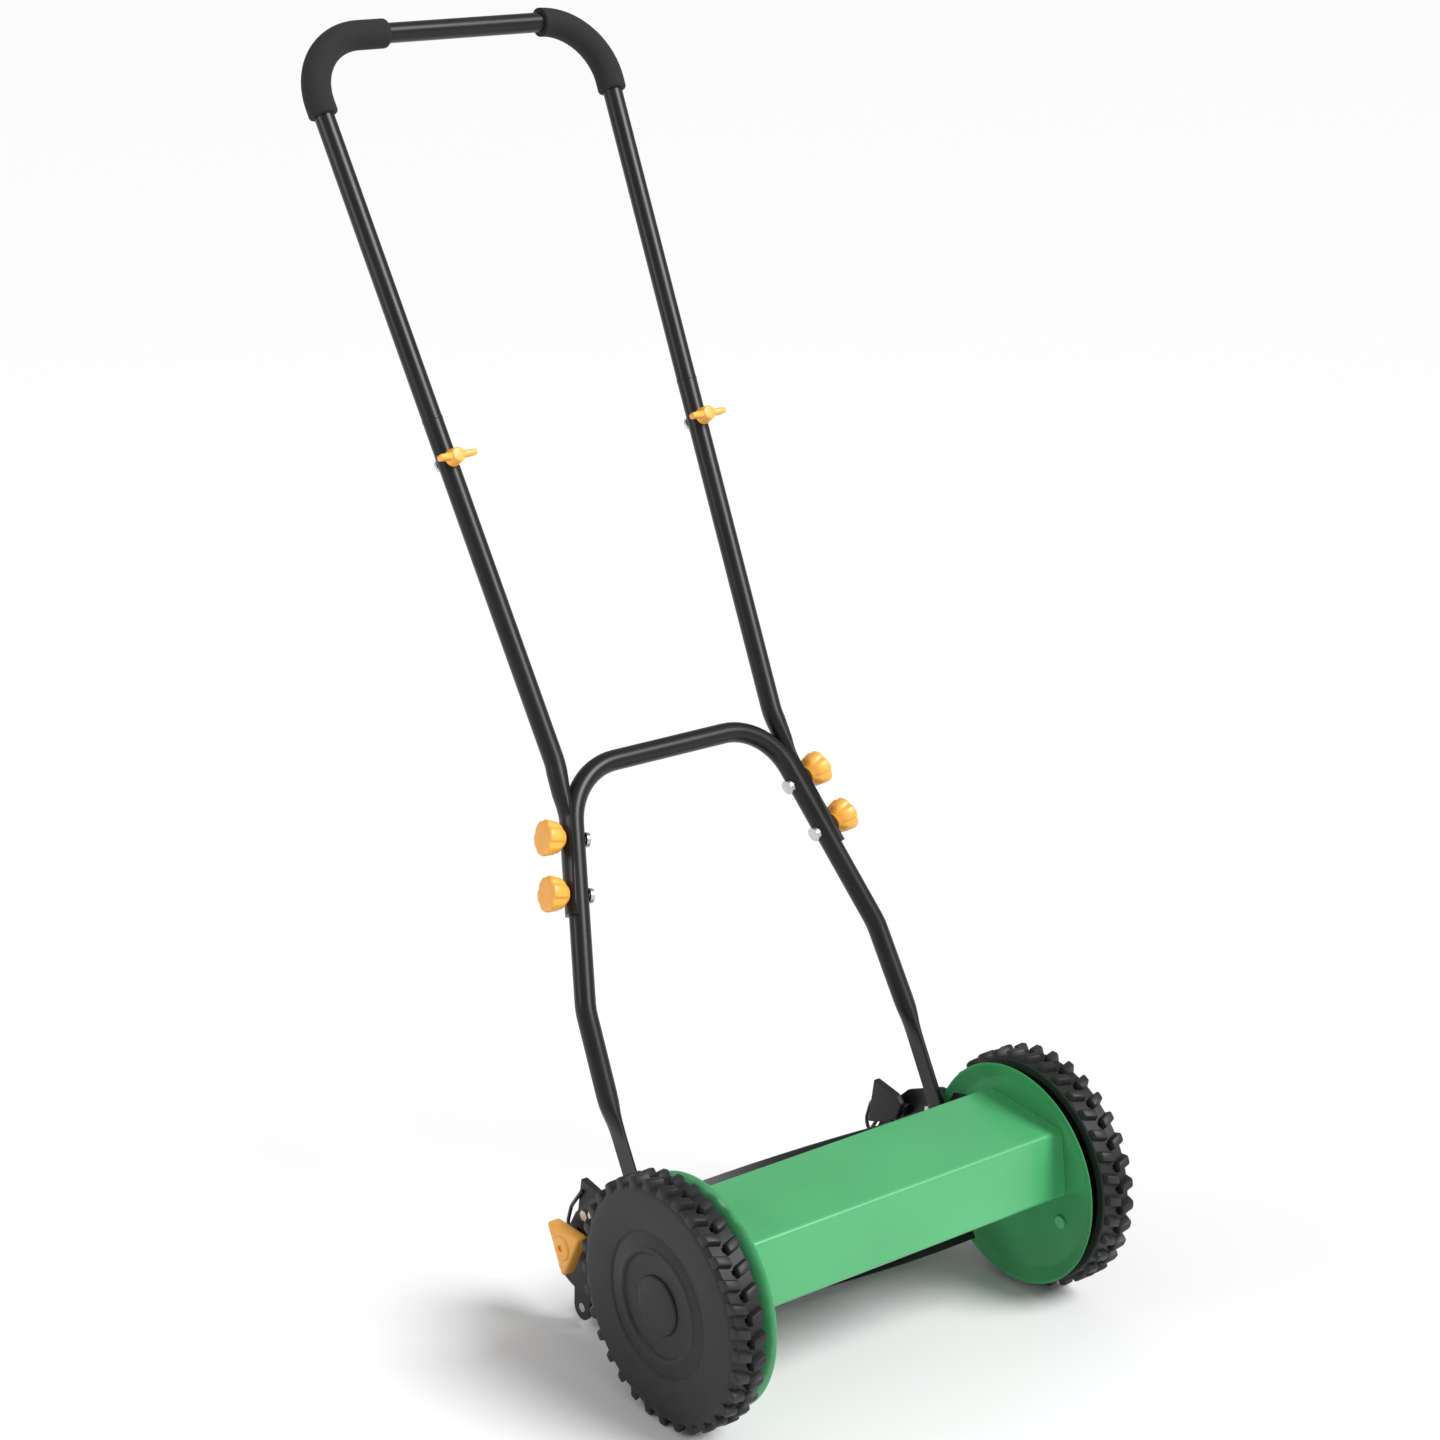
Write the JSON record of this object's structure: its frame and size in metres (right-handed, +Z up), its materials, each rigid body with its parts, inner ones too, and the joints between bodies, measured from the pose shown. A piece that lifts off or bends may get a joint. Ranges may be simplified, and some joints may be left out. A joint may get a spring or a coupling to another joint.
{
  "type": "reel mower",
  "caption": "Push reel mower with side wheels that drive a helical cutting reel, a fixed bed knife, rear roller and a folding tube handle.",
  "frame": {"origin": "on the ground under the centre of the bounding box", "axes": "+Z up, -Y the way the mower is pushed, +X to the mower's left"},
  "size_m": [0.429, 0.7085, 1.053],
  "materials": {
    "green_paint": "gloss green paint on pressed steel",
    "zinc_steel": "zinc plated fasteners",
    "blade_steel": "ground steel edge",
    "black_paint": "satin black paint",
    "tube_paint": "gloss black powder coat",
    "wheel_plastic": "moulded black plastic",
    "black_plastic": "moulded black plastic",
    "black_wire": "black coated spring wire",
    "bearing_plastic": "dark bearing plastic",
    "orange_plastic": "satin orange plastic",
    "grip_foam": "closed-cell foam"
  },
  "bodies": {
    "frame": {"side_plate_left": "green_paint", "side_plate_right": "green_paint", "front_cover": "green_paint", "cover_screws": "zinc_steel", "plate_rivets": "green_paint", "axle_stub_left": "zinc_steel", "axle_stub_right": "zinc_steel", "axle_clips": "zinc_steel", "reel_bearing_left": "bearing_plastic", "reel_bearing_right": "bearing_plastic", "bed_bar": "black_paint", "bed_knife": "blade_steel", "bed_knife_screws": "zinc_steel", "bed_bar_bolts": "zinc_steel", "rear_bracket_left": "black_paint", "rear_bracket_right": "black_paint", "bracket_bolts": "zinc_steel", "bag_hook_left": "black_plastic", "bag_hook_right": "black_plastic", "bag_hook_wire_left": "black_wire", "bag_hook_wire_right": "black_wire", "bag_hook_bolts": "zinc_steel", "handle_pivot_bolts": "zinc_steel", "handle_stop_pins": "zinc_steel"},
    "wheel_left": {"wheel_left": "wheel_plastic", "wheel_bush_left": "bearing_plastic", "hub_cap_left": "wheel_plastic"},
    "wheel_right": {"wheel_right": "wheel_plastic", "wheel_bush_right": "bearing_plastic", "hub_cap_right": "wheel_plastic"},
    "reel": {"reel_shaft": "zinc_steel", "reel_blades": "black_paint", "reel_spiders": "black_paint", "ratchet_keys": "zinc_steel", "pinion_left": "bearing_plastic", "pinion_right": "bearing_plastic"},
    "roller_legs": {"roller_carrier_left": "black_paint", "roller_carrier_right": "black_paint", "height_bolts": "zinc_steel"},
    "roller": {"roller": "black_plastic", "roller_shaft": "zinc_steel"},
    "handle": {"lower_handle": "tube_paint", "middle_tube_left": "tube_paint", "middle_tube_right": "tube_paint", "upper_handle": "tube_paint", "grip_left": "grip_foam", "grip_right": "grip_foam", "clamp_bolts": "zinc_steel", "wing_bolts": "zinc_steel"},
    "wing_nut_left": {"wing_nut_left": "orange_plastic"},
    "height_knob_left": {"height_knob_left": "orange_plastic"},
    "clamp_knob_left_lower": {"clamp_knob_left_lower": "orange_plastic"},
    "clamp_knob_left_upper": {"clamp_knob_left_upper": "orange_plastic"},
    "wing_nut_right": {"wing_nut_right": "orange_plastic"},
    "height_knob_right": {"height_knob_right": "orange_plastic"},
    "clamp_knob_right_lower": {"clamp_knob_right_lower": "orange_plastic"},
    "clamp_knob_right_upper": {"clamp_knob_right_upper": "orange_plastic"}
  },
  "joints": [
    {"name": "wheel_left_spin", "type": "hinge", "parent": "frame", "child": "wheel_left", "pos_m": [0.2, -0.25, 0.105], "axis": [1, 0, 0], "continuous": true},
    {"name": "wheel_right_spin", "type": "hinge", "parent": "frame", "child": "wheel_right", "pos_m": [-0.2, -0.25, 0.105], "axis": [1, 0, 0], "continuous": true},
    {"name": "reel_spin", "type": "hinge", "parent": "frame", "child": "reel", "pos_m": [0, -0.193, 0.09076], "axis": [1, 0, 0], "continuous": true},
    {"name": "roller_height", "type": "slide", "parent": "frame", "child": "roller_legs", "axis": [0, 0, 1], "range_m": [-0.01, 0.01]},
    {"name": "roller_spin", "type": "hinge", "parent": "roller_legs", "child": "roller", "pos_m": [0, -0.09, 0.018], "axis": [1, 0, 0], "continuous": true},
    {"name": "handle_fold", "type": "hinge", "parent": "frame", "child": "handle", "pos_m": [0, -0.168, 0.1225], "axis": [1, 0, 0], "range_deg": [0, 50]},
    {"name": "clamp_knob_left_lower_turn", "type": "hinge", "parent": "handle", "child": "clamp_knob_left_lower", "pos_m": [0.15597, -0.03018, 0.37113], "axis": [0.9652, 0.1268, 0.2287], "continuous": true},
    {"name": "clamp_knob_left_upper_turn", "type": "hinge", "parent": "handle", "child": "clamp_knob_left_upper", "pos_m": [0.14351, -0.00788, 0.41137], "axis": [0.9652, 0.1268, 0.2287], "continuous": true},
    {"name": "wing_nut_left_turn", "type": "hinge", "parent": "handle", "child": "wing_nut_left", "pos_m": [0.1335, 0.13983, 0.70877], "axis": [0, -0.8746, 0.4848], "continuous": true},
    {"name": "height_knob_left_turn", "type": "hinge", "parent": "roller_legs", "child": "height_knob_left", "pos_m": [0.186, -0.092, 0.082], "axis": [1, 0, 0], "continuous": true},
    {"name": "clamp_knob_right_lower_turn", "type": "hinge", "parent": "handle", "child": "clamp_knob_right_lower", "pos_m": [-0.15597, -0.03018, 0.37113], "axis": [-0.9652, 0.1268, 0.2287], "continuous": true},
    {"name": "clamp_knob_right_upper_turn", "type": "hinge", "parent": "handle", "child": "clamp_knob_right_upper", "pos_m": [-0.14351, -0.00788, 0.41137], "axis": [-0.9652, 0.1268, 0.2287], "continuous": true},
    {"name": "wing_nut_right_turn", "type": "hinge", "parent": "handle", "child": "wing_nut_right", "pos_m": [-0.1335, 0.13983, 0.70877], "axis": [0, -0.8746, 0.4848], "continuous": true},
    {"name": "height_knob_right_turn", "type": "hinge", "parent": "roller_legs", "child": "height_knob_right", "pos_m": [-0.186, -0.092, 0.082], "axis": [-1, 0, 0], "continuous": true}
  ],
  "couplings": [
    {"joint": "wheel_right_spin", "follows": "wheel_left_spin", "ratio": 1},
    {"joint": "reel_spin", "follows": "wheel_left_spin", "ratio": 4.6154}
  ]
}
